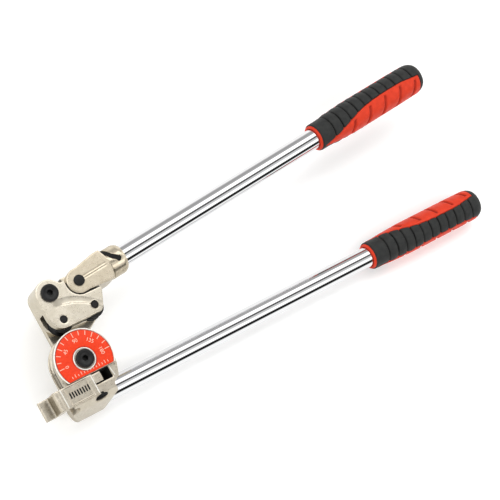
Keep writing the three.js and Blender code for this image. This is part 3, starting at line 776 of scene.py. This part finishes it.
def dial_number(degrees, top):
    font = bpy.data.curves.new("number", "FONT")
    font.body = str(degrees)
    font.size = 4.2 * MM
    font.align_x = "CENTER"
    font.align_y = "CENTER"
    font.extrude = 0.05 * MM
    turn = Matrix.Rotation(math.radians(90 - degrees), 4, "Z")
    return place(mesh_from("number", font), turn @ shift(0, NUMBER_R, top))


# ---- Small turned parts ----------------------------------------------------
def socket_screw(name, x, y, head_z, radius, height, end_z, across=SOCKET_ACROSS):
    """A domed socket head with a rounded rim, a hex recess in a shallow dish, and a plain shaft."""
    top = head_z + height
    profile = [(0, end_z), (POST_R - 0.5, end_z), (POST_R, end_z + 0.5), (POST_R, head_z),
               (radius - 0.2, head_z), (radius, head_z + 0.2)]
    profile += circle(radius - 0.9, top - 0.9, 0.9, 0, 90, 6)
    profile += [(across * 0.72, top), (across * 0.62, top - 0.35), (0, top - 0.35)]
    screw = revolve(name, profile, 96)
    hexagon = prism("hexagon", circle(0, 0, across / math.sqrt(3), 0, 360, 6), head_z - 1.5, top + 2)
    boolean(screw, hexagon, "DIFFERENCE")
    return shade(place(screw, shift(x, y, 0)), 40)


def rod(name, radius, z0, z1, chamfer=0.4):
    profile = [(0, z0), (radius - chamfer, z0), (radius, z0 + chamfer), (radius, z1 - chamfer),
               (radius - chamfer, z1), (0, z1)]
    return shade(revolve(name, profile, 64), 30)


def ring(name, r0, r1, z0, z1, chamfer=0.25):
    return shade(revolve(name, [(r0, z0), (r1 - chamfer, z0), (r1, z0 + chamfer), (r1, z1 - chamfer),
                                (r1 - chamfer, z1), (r0, z1)], 96, True), 30)


def nut(name, z0, z1, bore=NUT_BORE, across=NUT_ACROSS):
    """A hexagon nut, its corners chamfered by a cone at both ends."""
    corner = across / math.sqrt(3)
    piece = prism(name, circle(0, 0, corner, 0, 360, 6), z0, z1)
    rim = across / 2 - 0.1
    rise = (corner + 0.2 - rim) * 0.55
    cone = revolve("cone", [(0, z0), (rim, z0), (corner + 0.2, z0 + rise), (corner + 0.2, z1 - rise),
                            (rim, z1), (0, z1)], 96)
    boolean(piece, cone, "INTERSECT")
    lead = 0.7
    hole = revolve("hole", [(0, z0 - 1), (bore + lead, z0 - 1), (bore + lead, z0), (bore, z0 + lead),
                            (bore, z1 - lead), (bore + lead, z1), (bore + lead, z1 + 1), (0, z1 + 1)], 96)
    boolean(piece, hole, "DIFFERENCE")
    return shade(piece, 30)


def roller(name, at_x):
    half, outer, bore = 4.7, 8.9, 3.15
    axis_r = ROLLER_Y - BEND_R
    turn = math.degrees(math.acos((axis_r - outer) / GROOVE_R))
    groove = circle(axis_r, 0, GROOVE_R, -180 + turn, -180 - turn, 24)
    groove = [(r, z) for r, z in groove if r <= outer + 0.01]
    profile = [(bore, -half), (outer - 0.4, -half), (outer, -half + 0.25), *groove, (outer, half - 0.25),
               (outer - 0.4, half), (bore, half)]
    return shade(place(revolve(name, profile, 96, True), shift(at_x, ROLLER_Y, GROOVE_Z + 0.2)), 40)


def make_screws():
    z = GROOVE_Z
    pivot = socket_screw("pivot_screw", 0, 0, z + 10.5, 7.1, 2.5, 0)
    finish_piece(pivot, "form_side", "black_steel", ["pivot_post"])
    bolt = socket_screw("shoe_bolt", 0, SHOE_Y, z + 12.2, 7, 1.9, z - 19.4)
    finish_piece(bolt, "shoe", "black_steel", ["shoe_screw"])
    washer = ring("pivot_back_washer", NUT_BORE, 9, z - 16.4, z - 15)
    finish_piece(washer, "form_side", "zinc", ["pivot_washer"])
    finish_piece(nut("pivot_back_nut", z - 20.9, z - 16.7), "form_side", "zinc", ["pivot_nut"])
    back_nut = place(nut("shoe_back_nut", z - 18.8, z - 15), shift(0, SHOE_Y, 0))
    finish_piece(back_nut, "shoe", "zinc", ["shoe_nut"])


def make_pins():
    z = GROOVE_Z
    for end, x in ROLLERS.items():
        wheel = roller(f"{end}_turned_roller", x)
        finish_piece(wheel, f"{end}_roller_body", "black_steel", [f"{end}_roller"])
        pin = place(rod(f"{end}_turned_pin", 2.8, z - 9.0, z + 11.6), shift(x, ROLLER_Y, 0))
        finish_piece(pin, "shoe", "black_steel", [f"{end}_roller_pin"])
    head = revolve("clevis_rivet", [(0, -14.4), (2.6, -14.4), (3, -14), (3, 12.2), (4.4, 12.2),
                                    *circle(3.6, 12.6, 0.8, 0, 90, 6), (0, 13.4)], 64)
    finish_piece(shade(place(head, shift(*CLEVIS_AT)), 30), "shoe_handle", "black_steel", ["clevis_pin"])
    clip = ring("clevis_spring_clip", 3.35, 5, -13.6, -12.2)
    finish_piece(place(clip, shift(*CLEVIS_AT)), "shoe_handle", "zinc", ["clevis_clip"])
    cross = place(rod("form_roll_pin", 2, z - 39.6, z - 19.6), shift(2, FORM_AXIS[0], 0))
    finish_piece(cross, "form_side", "zinc", ["form_cross_pin"])
    cross = place(rod("shoe_roll_pin", 2, -12, -6), clevis_frame() @ shift(38, 0, 0))
    finish_piece(cross, "shoe_handle", "zinc", ["shoe_cross_pin"])
    hinge = revolve("latch_hinge_pin", [(0, 0), (2.3, 0), (2.8, 0.5), (2.8, 1.5), (1.9, 1.5), (1.9, 20),
                                        (1.5, 20.4), (0, 20.4)], 64)
    place(hinge, shift(1, -29.4, z + 5.2) @ Matrix.Rotation(-math.pi / 2, 4, "X"))
    finish_piece(shade(hinge, 30), "form_side", "black_steel", ["latch_pin"])


def restyle():
    """The bushings keep their CAD shape and get their material."""
    for name in ("link_bushing", "shoe_bushing"):
        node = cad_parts[name]
        node.data.materials.clear()
        node.data.materials.append(MATERIALS["bronze"])


# ---- Studio ----------------------------------------------------------------
CAMERA_AT = Vector((-0.4608, -0.1424, 1.2508))
CAMERA_FORWARD = Vector((0.45463, 0.11659, -0.88302))
CAMERA_RIGHT = Vector((0.79919, -0.49105, 0.34664))
CAMERA_LENS = 124.86
FLOOR_Z = -21.5          # in millimetres, under the handle that is set back
FLOOR_HALF = 2500
FLOOR_GLOW = 0.14
WALL, SIDE_WALL, SOFT_BOX, FLAG, GAP = 0.6, 0.9, 2.3, 0.01, 0.04
# Brightness of the studio by angle around X, from straight up (0) towards +Y: a soft box on either side
# of a narrow dark gap overhead, a black flag low on the -Y side, and pale walls.
STUDIO = [(-180, WALL), (-110, 0.7), (-90, SIDE_WALL), (-78, FLAG), (-62, FLAG), (-42, SOFT_BOX), (-19, 0.85),
          (-8, 0.7), (-4, GAP), (4, GAP), (8, 0.7), (18, SOFT_BOX), (33, SOFT_BOX), (49, 0.55), (70, 0.45),
          (95, SIDE_WALL), (120, 0.7), (180, WALL)]


def make_world():
    world = bpy.data.worlds.new("studio")
    bpy.context.scene.world = world
    world.use_nodes = True
    nodes = world.node_tree.nodes
    links = world.node_tree.links
    direction = nodes.new("ShaderNodeTexCoord")
    split = nodes.new("ShaderNodeSeparateXYZ")
    links.new(direction.outputs["Generated"], split.inputs[0])
    angle = nodes.new("ShaderNodeMath")
    angle.operation = "ARCTAN2"
    links.new(split.outputs["Y"], angle.inputs[0])
    links.new(split.outputs["Z"], angle.inputs[1])
    remap = nodes.new("ShaderNodeMapRange")
    remap.inputs["From Min"].default_value = -math.pi
    remap.inputs["From Max"].default_value = math.pi
    links.new(angle.outputs[0], remap.inputs["Value"])
    ramp = nodes.new("ShaderNodeValToRGB")
    ramp.color_ramp.interpolation = "EASE"
    while len(ramp.color_ramp.elements) < len(STUDIO):
        ramp.color_ramp.elements.new(0.5)
    for element, (degrees, value) in zip(ramp.color_ramp.elements, STUDIO):
        element.position = (degrees + 180) / 360
        level = value / SOFT_BOX
        element.color = (level, level, level * 0.99, 1)
    links.new(remap.outputs[0], ramp.inputs["Fac"])
    nodes["Background"].inputs["Strength"].default_value = SOFT_BOX
    links.new(ramp.outputs["Color"], nodes["Background"].inputs["Color"])


def area_light(name, at, target, size, power):
    light = bpy.data.lights.new(name, "AREA")
    light.energy = power
    light.size = size
    obj = bpy.data.objects.new(name, light)
    obj.location = at
    obj.rotation_euler = (Vector(target) - Vector(at)).to_track_quat("-Z", "Y").to_euler()
    obj.visible_glossy = False
    bpy.context.collection.objects.link(obj)


def make_studio():
    make_world()
    middle = (cad_low + cad_high) / 2
    area_light("key", (-0.5, -0.7, 1.5), middle, 1.2, 3.5)
    area_light("fill", (0.9, 0.6, 1.3), middle, 1.4, 2.5)
    bpy.context.scene.view_settings.view_transform = "Standard"
    floor = block("floor", (-FLOOR_HALF, -FLOOR_HALF, FLOOR_Z - 5), (FLOOR_HALF, FLOOR_HALF, FLOOR_Z))
    look = Look("floor_paper", (0.97, 0.97, 0.97), 0.0, 0.9)
    look.vary_color(look.noise(3, 2), (0.96, 0.96, 0.96))
    look.shader.inputs["Emission Color"].default_value = (1, 1, 1, 1)
    look.shader.inputs["Emission Strength"].default_value = FLOOR_GLOW
    floor.data.materials.append(look.mat)


def make_camera():
    camera = bpy.data.cameras.new("camera")
    camera.lens = CAMERA_LENS
    camera.sensor_width = 36
    camera.clip_start = 0.01
    obj = bpy.data.objects.new("camera", camera)
    up = CAMERA_RIGHT.cross(CAMERA_FORWARD)
    turn = Matrix((CAMERA_RIGHT, up, -CAMERA_FORWARD)).transposed()
    obj.matrix_world = Matrix.Translation(CAMERA_AT) @ turn.to_4x4()
    bpy.context.collection.objects.link(obj)
    bpy.context.scene.camera = obj


make_camera()
make_studio()
make_form()
make_groove_shade()
make_link()
make_shoe()
make_clevis()
make_latch()
make_handles()
make_dial()
make_screws()
make_pins()
restyle()
